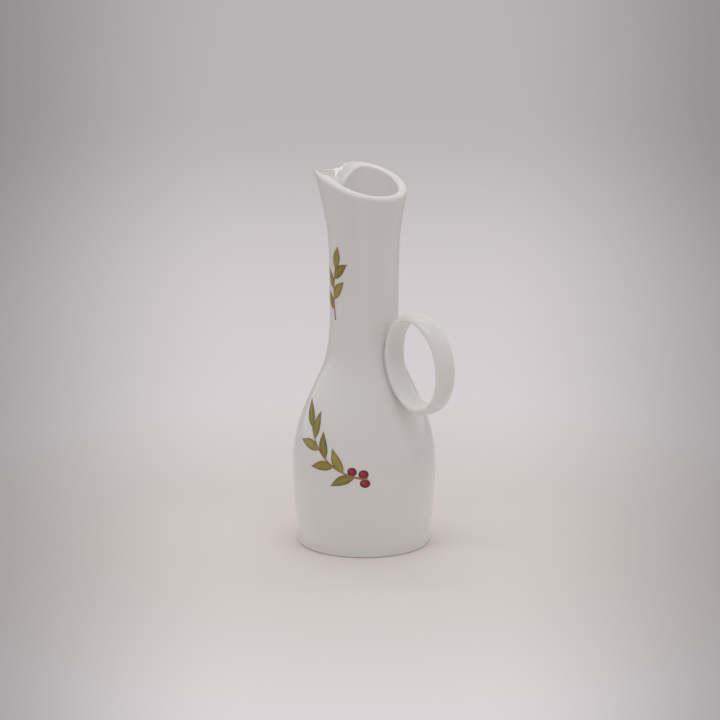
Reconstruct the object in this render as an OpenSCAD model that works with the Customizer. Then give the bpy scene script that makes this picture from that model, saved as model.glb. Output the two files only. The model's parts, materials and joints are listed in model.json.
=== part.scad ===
// Oil cruet of glazed porcelain: a bottle with a pouring beak, an oval finger ring and printed sprigs.
// The axis of the bottle is Z, the table is at Z = 0, the ring stands on +X and the beak points near to -X.

/* [Bowl] */
// Radius of the side where it rises from the foot
foot_r = 34.1; // [30:0.1:38]
// Outward lean of the side at the foot, in degrees from upright
foot_lean = 5; // [0:0.5:10]
// Height from the table to the widest part of the bowl
belly_h = 44; // [36:0.5:54]
// Radius of the bowl at its widest
belly_r = 37.2; // [33:0.1:44]
// Height from the widest part to the steepest part of the shoulder
shoulder_h = 40; // [32:0.5:50]
// Radius at the steepest part of the shoulder
shoulder_r = 25.5; // [23:0.1:30]
// Inward lean of the shoulder there, in degrees from upright
shoulder_lean = 25.6; // [18:0.2:32]

/* [Neck] */
// Height from the shoulder to the throat, where the bowl becomes the neck
throat_h = 14; // [10:0.5:20]
// Radius at the throat
throat_r = 19.9; // [18.5:0.1:23]
// Height from the throat to the narrowest part of the neck
neck_h = 32; // [24:0.5:42]
// Radius at the narrowest part of the neck
neck_r = 17.7; // [15:0.1:20]
// Height from the narrowest part to the collar, where the mouth begins to flare
collar_h = 30; // [22:0.5:40]
// Radius at the collar
collar_r = 18.4; // [16.5:0.1:21]

/* [Mouth] */
// Height from the collar to the rim at the sides of the mouth
mouth_h = 32; // [26:0.2:42]
// Radius of the rim away from the beak
rim_r = 21.9; // [20:0.1:26]
// How much the rim rises to the front and falls to the back
rim_tilt_h = 6.4; // [2:0.1:10]
// Turn of the beak from straight opposite the ring, towards the printed sprigs, in degrees
beak_turn = 9; // [-20:1:20]
// How far the tip of the beak reaches past the plain rim
beak_reach = 9.8; // [4:0.1:14]
// How far the tip of the beak dips below the tilted rim
beak_dip = 7; // [2:0.1:13]
// Angle over which the beak fades into the rim, in degrees
beak_spread = 24; // [18:1:50]
// Distance from the outside of the rim to its crest
rim_edge_w = 2.6; // [1.4:0.1:3]
// Height of the rounded outside of the rim
rim_round_h = 2.3; // [1:0.1:3]

/* [Wall and foot] */
// Thickness of the wall of the bowl, and of the neck at its narrowest
wall = 3.4; // [2.4:0.1:4.6]
// Thickness of the base inside the foot ring
base_t = 4; // [3:0.1:6]
// Radius of the corner between the floor and the wall inside
floor_round = 8; // [4:0.5:14]
// Width of the foot ring that stands on the table
foot_ring_w = 4; // [2.5:0.1:7]
// Depth of the hollow inside the foot ring
foot_recess = 1.5; // [0.8:0.1:2.5]
// Radius of the edge between the foot ring and the side
foot_round = 1.2; // [0.6:0.1:2]
// Height above the throat at which the straight bore of the neck begins
bore_rise = 14; // [8:0.5:20]

/* [Ring handle] */
// Height of the middle of the ring above the throat
ring_rise = 3.2; // [-4:0.2:12]
// Outside length of the ring along its long axis
ring_long = 52.8; // [46:0.2:60]
// Outside length of the ring along its short axis
ring_short = 40.2; // [35:0.2:45]
// Thickness of the band of the ring at its middle
ring_wall = 3.9; // [3:0.1:5.4]
// Width of the band of the ring
ring_band = 13; // [10:0.1:16]
// Depth of the rounded edges of the band on its inside
ring_edge_h = 1; // [0.6:0.1:1.6]
// Lean of the ring towards the neck, in degrees
ring_lean = 14; // [8:0.5:22]
// Depth to which the band is let into the wall of the bottle
ring_bite = 0.8; // [0.4:0.1:1.6]
// Width of the bead of slip around the joint
seam_w = 1.2; // [0.6:0.1:2]

/* [Printed sprigs] */
// Thickness of the fired print
print_t = 0.15; // [0.1:0.01:0.3]
// Direction that the sprig on the bowl faces, in degrees from +X
bowl_print_angle = -75; // [-100:1:-60]
// Height of the sprig on the bowl above the widest part
bowl_print_rise = 6; // [-4:0.5:10]
// Length of the stem on the bowl
bowl_stem_l = 42; // [32:0.5:48]
// Turn of the stem on the bowl from end to end, in degrees
bowl_stem_turn = 60; // [30:1:80]
// Lean of the foot of the sprig on the bowl, in degrees from upright
bowl_stem_lean = 85; // [60:1:100]
// Number of leaves on the bowl
bowl_leaf_count = 7; // [5:1:8]
// Length of a leaf on the bowl
bowl_leaf_l = 14; // [10:0.5:16]
// Width of a leaf on the bowl
bowl_leaf_w = 5; // [3.5:0.1:5.6]
// Radius of a berry
berry_r = 2.3; // [1.5:0.1:2.8]
// Direction that the sprig on the neck faces, in degrees from +X
neck_print_angle = -106; // [-125:1:-90]
// Distance from the top of the sprig on the neck to the collar
neck_print_gap = 0.6; // [0.4:0.1:6]
// Length of the stem on the neck
neck_stem_l = 27; // [20:0.5:32]
// Turn of the stem on the neck from end to end, in degrees
neck_stem_turn = 24; // [10:1:40]
// Number of leaves on the neck
neck_leaf_count = 5; // [3:1:6]
// Length of a leaf on the neck
neck_leaf_l = 12.5; // [9:0.5:14]
// Width of a leaf on the neck
neck_leaf_w = 5.2; // [3.5:0.1:5.6]
// Width of the printed stems
stem_w = 1.1; // [0.7:0.1:1.6]
// Angle between a leaf and its stem, in degrees
leaf_angle = 38; // [28:1:48]

/* [Hidden] */
$fn = 96;

porcelain = "#f4f3ef";
stem_brown = "#b87a4b";
leaf_olive = "#8a8a2e";
leaf_ochre = "#a99a45";
berry_crimson = "#9b1c3c";

// Heights from the table
shoulder_z = belly_h + shoulder_h;
throat_z = shoulder_z + throat_h;
neck_z = throat_z + neck_h;
collar_z = neck_z + collar_h;
rim_z = collar_z + mouth_h;
bore_z = throat_z + bore_rise;
floor_z = foot_recess + base_t;
ring_z = throat_z + ring_rise;

// The bore is straight and leaves the wall's thickness at the narrowest part of the neck
bore_r = neck_r - wall;

// Outer profile of the bottle: height, radius and slope (radius over height) at six stations
throat_slope = ((throat_r - shoulder_r) / throat_h + (neck_r - throat_r) / neck_h) / 2;
collar_slope = 2 * (collar_r - neck_r) / collar_h;
stations = [
    [0, foot_r, tan(foot_lean)],
    [belly_h, belly_r, 0],
    [shoulder_z, shoulder_r, -tan(shoulder_lean)],
    [throat_z, throat_r, throat_slope],
    [neck_z, neck_r, 0],
    [collar_z, collar_r, collar_slope]
];
span_steps = 9;

function span_of(z, i = 0) = i >= len(stations) - 2 || z <= stations[i + 1][0] ? i : span_of(z, i + 1);

// Cubic curve between two stations that keeps their radii and slopes
function curve(t, h, r0, m0, r1, m1) =
    r0 * (1 - 3 * t ^ 2 + 2 * t ^ 3) + r1 * (3 * t ^ 2 - 2 * t ^ 3)
    + h * (m0 * t * (1 - t) ^ 2 + m1 * t ^ 2 * (t - 1));
function between(a, b, z) = curve((z - a[0]) / (b[0] - a[0]), b[0] - a[0], a[1], a[2], b[1], b[2]);
function side_r(z) = let (i = span_of(z)) between(stations[i], stations[i + 1], z);
slope_step = 0.1;
function side_slope(z) = (side_r(z + slope_step) - side_r(z - slope_step)) / (2 * slope_step);

// The inside follows the outside at the wall's thickness and eases into the bore above the shoulder
function ease(t) = let (c = max(0, min(1, t))) c * c * (3 - 2 * c);
function inside_r(z) =
    let (t = ease((z - shoulder_z) / (bore_z - shoulder_z)))
    (1 - t) * (side_r(z) - wall * sqrt(1 + side_slope(z) ^ 2)) + t * bore_r;

// The revolved wall ends inside the flared mouth, whose outside stands proud of it by the lap
lap = 0.05;
lap_h = 1;

function side_points(low, high, steps) =
    [for (i = [0 : steps]) let (z = low + (high - low) * i / steps) [side_r(z), z]];

corner_steps = 6;
foot_edge = [for (i = [0 : corner_steps - 1])
    let (a = -90 + 90 * i / corner_steps)
    [side_r(foot_round) - foot_round + foot_round * cos(a), foot_round + foot_round * sin(a)]];
floor_corner_z = floor_z + floor_round;
floor_corner = [for (i = [corner_steps : -1 : 0])
    let (a = -90 + 90 * i / corner_steps)
    [inside_r(floor_corner_z) - floor_round + floor_round * cos(a),
     floor_corner_z + floor_round * sin(a)]];
inside_steps = 26;
inside_points = [for (i = [0 : inside_steps - 1])
    let (z = bore_z + (floor_corner_z - bore_z) * i / inside_steps)
    [inside_r(z), z]];
outside_points = concat(
    side_points(foot_round, belly_h, span_steps),
    [for (i = [1 : len(stations) - 2])
        for (k = [1 : span_steps])
            let (z = stations[i][0] + (stations[i + 1][0] - stations[i][0]) * k / span_steps)
            [side_r(z), z]]);
foot_inner_r = foot_r - foot_round - foot_ring_w;

// Half section of the bottle below the mouth
module wall_section() {
    polygon(concat(
        [[0, foot_recess], [foot_inner_r - foot_recess, foot_recess], [foot_inner_r, 0]],
        foot_edge,
        outside_points,
        [[collar_r, collar_z + lap_h], [bore_r, collar_z + lap_h]],
        inside_points,
        floor_corner,
        [[0, floor_z]]));
}

// Mouth: rings of points run up the outside, over the rim and down the inside
mouth_sides = 72;
flare_steps = 8;
rim_steps = 4;
roll_steps = 10;
beak_tip = 0.12;
beak_curl = 1.3;
flare_end = 0.9;
function mouth_point(a, r, z) = [-r * cos(a), -r * sin(a), z];
function mouth_angle(j) = 360 * j / mouth_sides - 180 + beak_turn;

// Share of the beak at an angle: one at its tip, falling away on both sides, more softly as soft grows
function beak(a, soft = beak_tip) = exp(soft - sqrt(((a - beak_turn) / beak_spread) ^ 2 + soft ^ 2));

// The rounded rim thins towards the tip of the beak
lip_taper = 0.8;
function lip(a) = 1 - lip_taper * sqrt(beak(a));

// Height and radius of the crest at an angle, with a share of the beak
function crest_z(a, share) = rim_z + rim_tilt_h * cos(a) - beak_dip * share;
function crest_r(a, share) = rim_r + beak_reach * share - rim_edge_w * lip(a);

// Outside: the flare starts along the neck's own slope, and the beak reaches out near the rim
flare_start = collar_slope * mouth_h / (rim_r - collar_r);
function flare(u) = curve(u, 1, 0, flare_start, 1, flare_end);
function flare_r(a, u) =
    collar_r + lap + (rim_r - collar_r - lap) * flare(u) + beak_reach * beak(a) * u ^ beak_curl;
function flare_z(a, u) = collar_z + u * (crest_z(a, beak(a)) - rim_round_h * lip(a) - collar_z);
function outer_ring(u) = [for (j = [0 : mouth_sides - 1])
    let (a = mouth_angle(j))
    mouth_point(a, flare_r(a, u), flare_z(a, u))];
function rim_ring(c) = [for (j = [0 : mouth_sides - 1])
    let (a = mouth_angle(j))
    mouth_point(a, crest_r(a, beak(a)) + rim_edge_w * lip(a) * cos(c),
                crest_z(a, beak(a)) - rim_round_h * lip(a) * (1 - sin(c)))];

// Inside: the crest rolls over into the bore, sharply at the sides and as a shallow trough in the beak.
// The trough starts along the sharp crest and soon rounds out.
roll_side = 4.5;
roll_beak = 7;
trough_soft = 0.5;
function roll(a) = roll_side + (roll_beak - roll_side) * beak(a, trough_soft);
function trough(a, c) =
    let (s = (1 - cos(c)) ^ 3)
    s * beak(a) + (1 - s) * beak(a, trough_soft);
function roll_ring(c) = [for (j = [0 : mouth_sides - 1])
    let (a = mouth_angle(j), r = crest_r(a, trough(a, c)), z = crest_z(a, trough(a, c)))
    mouth_point(a, r - (r - bore_r - lap) * cos(c),
                collar_z + (z - collar_z) * sin(c) ^ (2 / roll(a)))];
mouth_rings = concat(
    [for (i = [0 : flare_steps]) outer_ring(i / flare_steps)],
    [for (k = [1 : rim_steps]) rim_ring(90 * k / rim_steps)],
    [for (k = [roll_steps - 1 : -1 : 0]) roll_ring(90 * k / roll_steps)]);

module mouth() {
    ring_surface(mouth_rings);
}

module body() {
    color(porcelain) union() {
        rotate_extrude() wall_section();
        mouth();
    }
}

// Solid of the bottle's outside below the collar, grown by a margin
module bottle_outside(grow = 0) {
    rotate_extrude() polygon(concat(
        [[0, foot_round]],
        [for (p = outside_points) [p[0] + grow, p[1]]],
        [[0, collar_z]]));
}

// Ring: an ellipse whose long axis leans towards the neck; t runs once around it
function oval_out(t) = [ring_short / 2 * cos(t), ring_long / 2 * sin(t)];
function oval_normal(t) =
    let (n = [ring_long * cos(t), ring_short * sin(t)])
    n / norm(n);
function leaned(p) = [p[0] * cos(ring_lean) - p[1] * sin(ring_lean),
                      p[0] * sin(ring_lean) + p[1] * cos(ring_lean)];

// The flank near the bottle is set so that its deepest point is let into the wall by the bite
ring_sides = 64;
flank_gaps = [for (i = [0 : ring_sides])
    let (p = leaned(oval_out(90 + 180 * i / ring_sides)))
    p[0] - side_r(ring_z + p[1])];
ring_x = -min(flank_gaps) - ring_bite;

// Section of the band: distance out from the oval, and place along the band's width
// The outside is crowned as half an ellipse, and the inside is flat between rounded edges
section_steps = 24;
function inside_edge(a, square = 8) = (1 - abs(cos(a)) ^ square) ^ (1 / square);
function band_section(grow) =
    let (crown = ring_wall - ring_edge_h + grow, edge = ring_edge_h + grow, half = ring_band / 2 + grow)
    [for (i = [0 : section_steps - 1])
        let (a = 360 * i / section_steps)
        [(a <= 180 ? crown * sin(a) : -edge * inside_edge(a)) + ring_edge_h - ring_wall, -half * cos(a)]];
function band_ring(t, section) = [for (q = section)
    let (p = leaned(oval_out(t) + q[0] * oval_normal(t)))
    [ring_x + p[0], q[1], ring_z + p[1]]];

// Closed surface over rings of points, joined end to end
module ring_surface(rings) {
    count = len(rings);
    sides = len(rings[0]);
    points = [for (ring = rings) each ring];
    faces = [for (i = [0 : count - 1]) for (j = [0 : sides - 1])
        let (n = (i + 1) % count, m = (j + 1) % sides)
        let (p = i * sides + j, q = i * sides + m)
        let (s = n * sides + j, t = n * sides + m)
        each [[p, s, q], [q, s, t]]];
    polyhedron(points, faces);
}

module oval_band(grow = 0) {
    section = band_section(grow);
    ring_surface([for (i = [0 : ring_sides - 1]) band_ring(360 * i / ring_sides, section)]);
}

module ring_handle() {
    color(porcelain) difference() {
        oval_band();
        bottle_outside();
    }
}

// Bead of slip: a collar around the band, no higher above the wall than it is wide
module handle_seam() {
    color(porcelain) difference() {
        intersection() {
            oval_band(seam_w);
            bottle_outside(seam_w);
        }
        oval_band();
        bottle_outside();
    }
}

// Thin coat on the bottle between two heights
module coat(low, high) {
    points = side_points(low, high, span_steps * 2);
    rotate_extrude() polygon(concat(
        points,
        [for (i = [len(points) - 1 : -1 : 0]) points[i] + [print_t, 0]]));
}

// Print of a flat design, facing a direction and centred at a height
module printed(angle, height, reach) {
    intersection() {
        coat(height - reach, height + reach);
        rotate([0, 0, angle + 90]) translate([0, 0, height]) rotate([90, 0, 0])
            linear_extrude(belly_r + wall) children();
    }
}

// Stem: an arc of a given length and turn, rising from the origin and bending to the right
function stem_r(l, turn) = l / (turn * PI / 180);
function stem_at(s, l, turn) = stem_r(l, turn) * [1 - cos(turn * s), sin(turn * s)];
function stem_heading(s, turn) = 90 - turn * s;
function stem_middle(l, turn) = stem_at(1 / 2, l, turn);

module stem_shape(l, turn) {
    r = stem_r(l, turn);
    intersection() {
        translate([r, 0]) difference() {
            circle(r + stem_w / 2);
            circle(r - stem_w / 2);
        }
        polygon([[r, 0], [-stem_w, 0], [-stem_w, l], stem_at(1, l, turn)]);
    }
}

// Leaf from the origin along +X: pointed at both ends and widest a little before the middle
leaf_steps = 7;
leaf_fullness = 0.8;
function leaf_half(s, w) = w / 2 * sin(180 * s ^ leaf_fullness);
module leaf_shape(l, w) {
    polygon(concat(
        [for (i = [0 : leaf_steps]) [l * i / leaf_steps, leaf_half(i / leaf_steps, w)]],
        [for (i = [leaf_steps - 1 : -1 : 1]) [l * i / leaf_steps, -leaf_half(i / leaf_steps, w)]]));
}

// Leaves grow by turns on both sides of the stem, and one ends it
module leaf_shapes(l, turn, count, leaf_l, leaf_w) {
    for (i = [0 : count - 2]) {
        s = (i + 1) / count;
        side = i % 2 == 0 ? 1 : -1;
        translate(stem_at(s, l, turn)) rotate(stem_heading(s, turn) + side * leaf_angle)
            leaf_shape(leaf_l, leaf_w);
    }
    translate(stem_at(1, l, turn)) rotate(stem_heading(1, turn)) leaf_shape(leaf_l, leaf_w);
}

// Berries sit against the foot of the stem, below the first leaf on each side: place and side
berry_places = [[0.02, 1], [0.05, -1], [0.19, -1]];
module berry_shapes() {
    for (b = berry_places)
        translate(stem_at(b[0], bowl_stem_l, bowl_stem_turn))
            rotate(stem_heading(b[0], bowl_stem_turn) + 90 * b[1])
            translate([berry_r, 0]) circle(berry_r);
}

// The flat designs are centred on the middle of their stems
bowl_print_z = belly_h + bowl_print_rise;
bowl_print_reach = bowl_stem_l / 2 + bowl_leaf_l;
module bowl_layout() {
    rotate(bowl_stem_lean) translate(-stem_middle(bowl_stem_l, bowl_stem_turn)) children();
}
module bowl_printed() {
    printed(bowl_print_angle, bowl_print_z, bowl_print_reach) bowl_layout() children();
}
neck_print_reach = neck_stem_l / 2 + neck_leaf_l;
neck_print_z = collar_z - neck_print_gap - neck_print_reach;
module neck_layout() {
    rotate(neck_stem_turn / 2) translate(-stem_middle(neck_stem_l, neck_stem_turn)) children();
}
module neck_printed() {
    printed(neck_print_angle, neck_print_z, neck_print_reach) neck_layout() children();
}

module bowl_stem() {
    color(stem_brown) bowl_printed() stem_shape(bowl_stem_l, bowl_stem_turn);
}

module bowl_leaves() {
    color(leaf_olive) bowl_printed() difference() {
        leaf_shapes(bowl_stem_l, bowl_stem_turn, bowl_leaf_count, bowl_leaf_l, bowl_leaf_w);
        stem_shape(bowl_stem_l, bowl_stem_turn);
    }
}

module bowl_berries() {
    color(berry_crimson) bowl_printed() difference() {
        berry_shapes();
        stem_shape(bowl_stem_l, bowl_stem_turn);
    }
}

module neck_stem() {
    color(stem_brown) neck_printed() stem_shape(neck_stem_l, neck_stem_turn);
}

module neck_leaves() {
    color(leaf_ochre) neck_printed() difference() {
        leaf_shapes(neck_stem_l, neck_stem_turn, neck_leaf_count, neck_leaf_l, neck_leaf_w);
        stem_shape(neck_stem_l, neck_stem_turn);
    }
}

body();
ring_handle();
handle_seam();
bowl_stem();
bowl_leaves();
bowl_berries();
neck_stem();
neck_leaves();
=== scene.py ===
# %% [markdown]
# # An oil cruet in glazed porcelain
#
# The cruet is a slip-cast bottle with a flat foot, a round bowl, a slender neck and a pouring beak.
# An oval finger ring was stuck to its shoulder with slip before the glaze went on, and two leafy
# sprigs were printed on the glaze and fired again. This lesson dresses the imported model: every
# shape here is a formula on a grid, and it stands exactly where the solid stands.

# %% Load the fixed frame
import json
import math

import bpy
import numpy as np
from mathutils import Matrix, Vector


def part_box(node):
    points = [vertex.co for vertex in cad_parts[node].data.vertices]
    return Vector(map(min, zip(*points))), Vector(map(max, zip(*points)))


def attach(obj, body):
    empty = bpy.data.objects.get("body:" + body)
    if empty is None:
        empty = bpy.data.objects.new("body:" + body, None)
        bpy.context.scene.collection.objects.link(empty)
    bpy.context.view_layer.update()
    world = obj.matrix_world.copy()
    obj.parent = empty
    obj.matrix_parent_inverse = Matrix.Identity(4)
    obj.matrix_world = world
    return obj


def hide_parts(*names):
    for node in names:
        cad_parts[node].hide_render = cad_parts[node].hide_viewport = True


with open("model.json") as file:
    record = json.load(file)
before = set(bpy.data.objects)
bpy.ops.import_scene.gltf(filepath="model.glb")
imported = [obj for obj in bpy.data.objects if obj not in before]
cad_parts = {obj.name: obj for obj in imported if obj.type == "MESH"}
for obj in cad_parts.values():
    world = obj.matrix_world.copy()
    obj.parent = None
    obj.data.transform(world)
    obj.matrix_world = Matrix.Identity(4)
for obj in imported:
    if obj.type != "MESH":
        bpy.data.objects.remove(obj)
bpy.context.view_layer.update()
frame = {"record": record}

# %% [markdown]
# ## Camera
#
# The picture was taken from some two metres away with a long lens, a little above the rim, so the
# cruet shows almost no perspective. A camera could be placed by eye and pushed about until it fits.
# Here it is placed by measured values instead: its bearing, height and distance, and the point on
# the bottle at the frame's middle.

# %% Camera
frame_px = 720
focal_px = 4200
sensor_mm = 36
camera_bearing = math.radians(44)
camera_distance = 2.094
camera_height = 0.635
aim_height = 0.0962
aim_left = 0.0021

to_camera = Vector((math.sin(camera_bearing), -math.cos(camera_bearing), 0))
screen_right = Vector((math.cos(camera_bearing), math.sin(camera_bearing), 0))
camera_place = to_camera * camera_distance + Vector((0, 0, camera_height))
aim = Vector((0, 0, aim_height)) - screen_right * aim_left

camera = bpy.data.objects.new("camera", bpy.data.cameras.new("camera"))
camera.data.sensor_width = sensor_mm
camera.data.lens = focal_px / frame_px * sensor_mm
camera.location = camera_place
camera.rotation_euler = (aim - camera_place).to_track_quat("-Z", "Y").to_euler()
bpy.context.scene.collection.objects.link(camera)
bpy.context.scene.camera = camera
bpy.context.scene.view_settings.view_transform = "Standard"
print("lens in mm:", camera.data.lens)

# %% [markdown]
# ## Nodes and colours
#
# Shader trees take many lines when each node is made by hand. One small function adds a node, sets
# its properties and fills or links its sockets. Colours are written as sRGB hex values, as a colour
# picker gives them, and one function makes them linear, because the renderer adds light in linear
# numbers.

# %% Node and colour helpers
def linear(code):
    """sRGB hex colour as linear red, green, blue and alpha."""
    part = np.array([int(code[i:i + 2], 16) for i in (1, 3, 5)]) / 255
    low, high = part / 12.92, ((part + 0.055) / 1.055) ** 2.4
    return (*np.where(part <= 0.04045, low, high), 1.0)


def add(tree, kind, inputs=None, **settings):
    """Adds a node of a kind with its settings, and fills its inputs with values or links."""
    node = tree.nodes.new("ShaderNode" + kind)
    for name, value in settings.items():
        setattr(node, name, value)
    for key, value in (inputs or {}).items():
        if isinstance(value, bpy.types.NodeSocket):
            tree.links.new(value, node.inputs[key])
        else:
            node.inputs[key].default_value = value
    return node


def blank_material(name):
    """A new material with an empty node tree."""
    material = bpy.data.materials.new(name)
    material.use_nodes = True
    material.node_tree.nodes.clear()
    return material


print("white paper is", [round(x, 3) for x in linear("#f4f3ef")[:3]], "in linear light")

# %% [markdown]
# ## Floor
#
# The cruet stands on a plain pale floor that fills the frame. A small plane would show its edge, so
# the floor is a wide disc. White paper under lamps is warm near the middle, cooler behind it and
# darker to both sides, where less light falls. Its colour is made to do the same, and the pool of
# light widens towards the back. The darker sides show to the camera and in reflections only, so that
# they don't shade the glaze. The light that the paper scatters up at the neck fades in front instead,
# where the room is open. The floor isn't part of the object.

# %% Floor
floor_radius = 6.0
floor_sides = 128
floor_near = "#ece5e2"
floor_behind = "#f4eff1"
floor_far = "#dfdbdc"
behind_fade = (0.12, 0.30)
far_fade = (0.50, 1.20)
side_fade = (0.06, 0.24)
side_shade = 0.5
front_fade = (0.26, 0.65)
front_shade = 0.40

turn = np.linspace(0, 2 * math.pi, floor_sides, endpoint=False)
rim_points = np.stack([floor_radius * np.cos(turn), floor_radius * np.sin(turn), 0 * turn], axis=-1)
floor_mesh = bpy.data.meshes.new("floor")
floor_mesh.from_pydata(rim_points.tolist(), [], [list(range(floor_sides))])
floor = bpy.data.objects.new("floor", floor_mesh)
bpy.context.scene.collection.objects.link(floor)


def floor_paper():
    """Matt white paper: flat and soft, warm near the middle, cooler far away and darker to both sides."""
    material = blank_material("matt_paper")
    tree = material.node_tree
    place = add(tree, "TexCoord").outputs["Object"]
    distance = add(tree, "VectorMath", {0: place}, operation="LENGTH").outputs["Value"]
    tone = linear(floor_near)
    for (start, end), next_tone in ((behind_fade, floor_behind), (far_fade, floor_far)):
        fade = add(tree, "MapRange", {"Value": distance, "From Min": start, "From Max": end},
                   interpolation_type="SMOOTHSTEP").outputs["Result"]
        tone = add(tree, "Mix", {0: fade, 6: tone, 7: linear(next_tone)}, data_type="RGBA").outputs[2]
    across, behind = [add(tree, "VectorMath", {0: place, 1: tuple(way)},
                          operation="DOT_PRODUCT").outputs["Value"] for way in (screen_right, -to_camera)]
    width = add(tree, "Math", {0: behind, 1: 1 / camera_distance, 2: 1.0},
                operation="MULTIPLY_ADD").outputs[0]
    spread = add(tree, "Math", {0: across, 1: width}, operation="DIVIDE").outputs[0]
    aside = add(tree, "Math", {0: spread}, operation="ABSOLUTE").outputs[0]
    shade = add(tree, "MapRange", {"Value": aside, "From Min": side_fade[0], "From Max": side_fade[1],
                                   "To Min": 1.0, "To Max": side_shade},
                interpolation_type="SMOOTHSTEP").outputs["Result"]
    rays = add(tree, "LightPath").outputs
    seen = rays["Is Camera Ray"]
    for ray in ("Is Glossy Ray", "Is Transmission Ray"):
        seen = add(tree, "Math", {0: seen, 1: rays[ray]}, operation="MAXIMUM").outputs[0]
    front = add(tree, "MapRange", {"Value": behind, "From Min": -front_fade[1], "From Max": -front_fade[0],
                                   "To Min": front_shade, "To Max": 1.0},
                interpolation_type="SMOOTHSTEP").outputs["Result"]
    level = add(tree, "Mix", {0: seen, 2: front, 3: shade}, data_type="FLOAT").outputs[0]
    shaded = add(tree, "VectorMath", {0: tone, "Scale": level}, operation="SCALE").outputs["Vector"]
    shader = add(tree, "BsdfDiffuse", {"Color": shaded})
    add(tree, "OutputMaterial", {"Surface": shader.outputs[0]})
    return material


floor_mesh.materials.append(floor_paper())
print("floor radius in m:", floor_radius)

# %% [markdown]
# ## Light
#
# White ware is photographed in a tent of white cloth: soft light comes from all sides, less from
# the open front where the camera stands, and lamps hang overhead. A few large lamps could stand in
# for the cloth, but their edges would show in the glaze. So the world itself is the cloth, dimmer
# towards the camera. A long strip lamp above the front lifts the floor, the shoulder and the rim,
# and a short one behind gives bright glints.

# %% Light
tent_back = 0.72
tent_front = 0.46
tent_top_gain = 0.09
tent_colour = "#fdfbfb"
lamp_height = 0.85


def tent_world():
    """World light by direction: brighter behind and above the object, dimmer towards the camera."""
    world = bpy.data.worlds.new("tent")
    world.use_nodes = True
    tree = world.node_tree
    tree.nodes.clear()
    direction = add(tree, "TexCoord").outputs["Generated"]
    front = add(tree, "VectorMath", {0: direction, 1: tuple(to_camera)},
                operation="DOT_PRODUCT").outputs["Value"]
    side = add(tree, "MapRange", {"Value": front, "From Min": -1.0, "From Max": 1.0,
                                  "To Min": tent_back, "To Max": tent_front},
               interpolation_type="SMOOTHSTEP").outputs["Result"]
    height = add(tree, "SeparateXYZ", {0: direction}).outputs["Z"]
    gain = add(tree, "MapRange", {"Value": height, "To Max": tent_top_gain}).outputs["Result"]
    level = add(tree, "Math", {0: side, 1: gain}, operation="ADD").outputs[0]
    cloth = add(tree, "Background", {"Color": linear(tent_colour), "Strength": level})
    add(tree, "OutputWorld", {"Surface": cloth.outputs[0]})
    return world


def strip_lamp(name, forward, length, width, power):
    """One strip lamp overhead that faces down and lies across the view, at a place towards the camera."""
    data = bpy.data.lights.new(name, "AREA")
    data.shape = "RECTANGLE"
    data.size, data.size_y = length, width
    data.energy = power
    lamp = bpy.data.objects.new(name, data)
    lamp.location = to_camera * forward + Vector((0, 0, lamp_height))
    lamp.rotation_euler.z = camera_bearing
    bpy.context.scene.collection.objects.link(lamp)


bpy.context.scene.world = tent_world()
strip_lamp("lamp_front", forward=0.30, length=0.80, width=0.12, power=1.05)
strip_lamp("lamp_back", forward=-0.25, length=0.40, width=0.05, power=0.3)
print("lamps at height", lamp_height, "m")

# %% [markdown]
# ## Pieces from grids
#
# Each piece is a closed skin over rings of points, like a net pulled over hoops. A skin either runs
# from pole to pole or closes on itself like a tyre. The points come in millimetres as whole arrays,
# and go into the mesh in one step. The signed volume is printed: it is positive when the faces
# point outwards.

# %% Grid helpers
millimetre = 0.001
crease_angle = math.radians(50)


def skin(rings, tyre=False):
    """Closed skin over rings[i, j]: quads join neighbours j, j + 1 on ring i to those on ring i + 1.
    A tyre joins its last ring to the first; otherwise a point at the middle of each end ring closes it."""
    rows, columns = rings.shape[:2]
    index = np.arange(rows * columns).reshape(rows, columns)
    beside = np.roll(index, -1, axis=1)
    quads = np.stack([index, beside, np.roll(beside, -1, axis=0), np.roll(index, -1, axis=0)], axis=-1)
    points = rings.reshape(-1, 3)
    if tyre:
        return points, quads.reshape(-1, 4), np.zeros((0, 3), int)
    poles = np.stack([rings[0].mean(axis=0), rings[-1].mean(axis=0)])
    first = np.stack([beside[0], index[0], np.full(columns, len(points))], axis=-1)
    last = np.stack([index[-1], beside[-1], np.full(columns, len(points) + 1)], axis=-1)
    return np.concatenate([points, poles]), quads[:-1].reshape(-1, 4), np.concatenate([first, last])


def volume(points, quads, triangles):
    """Signed volume: the sum over triangles of the box product of their corners, over six."""
    corners = points[np.concatenate([triangles, quads[:, [0, 1, 2]], quads[:, [0, 2, 3]]])]
    return np.einsum("ij,ij->", corners[:, 0], np.cross(corners[:, 1], corners[:, 2])) / 6


def make_piece(name, skins, node, materials, marks=None):
    """Puts closed skins into one object that stands for a CAD node.
    marks holds values per point, which materials read by name."""
    starts = np.cumsum([0] + [len(points) for points, _, _ in skins])
    points = np.concatenate([points for points, _, _ in skins])
    quads = np.concatenate([quads + start for (_, quads, _), start in zip(skins, starts)])
    triangles = np.concatenate([triangles + start for (_, _, triangles), start in zip(skins, starts)])
    mesh = bpy.data.meshes.new(name)
    mesh.from_pydata((points * millimetre).tolist(), [], quads.tolist() + triangles.tolist())
    mesh.shade_smooth()
    mesh.set_sharp_from_angle(angle=crease_angle)
    for material in materials:
        mesh.materials.append(material)
    for mark, values in (marks or {}).items():
        mesh.attributes.new(mark, "FLOAT", "POINT").data.foreach_set("value", values.astype(np.float32))
    piece = bpy.data.objects.new(name, mesh)
    bpy.context.scene.collection.objects.link(piece)
    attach(piece, "root")
    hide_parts(node)
    size = volume(points, quads, triangles)
    print(f"{name}: {len(points)} points, {len(quads) * 2 + len(triangles)} triangles, {size:.1f} mm3")
    return piece


print("edges sharper than", round(math.degrees(crease_angle)), "degrees stay creased")

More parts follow.
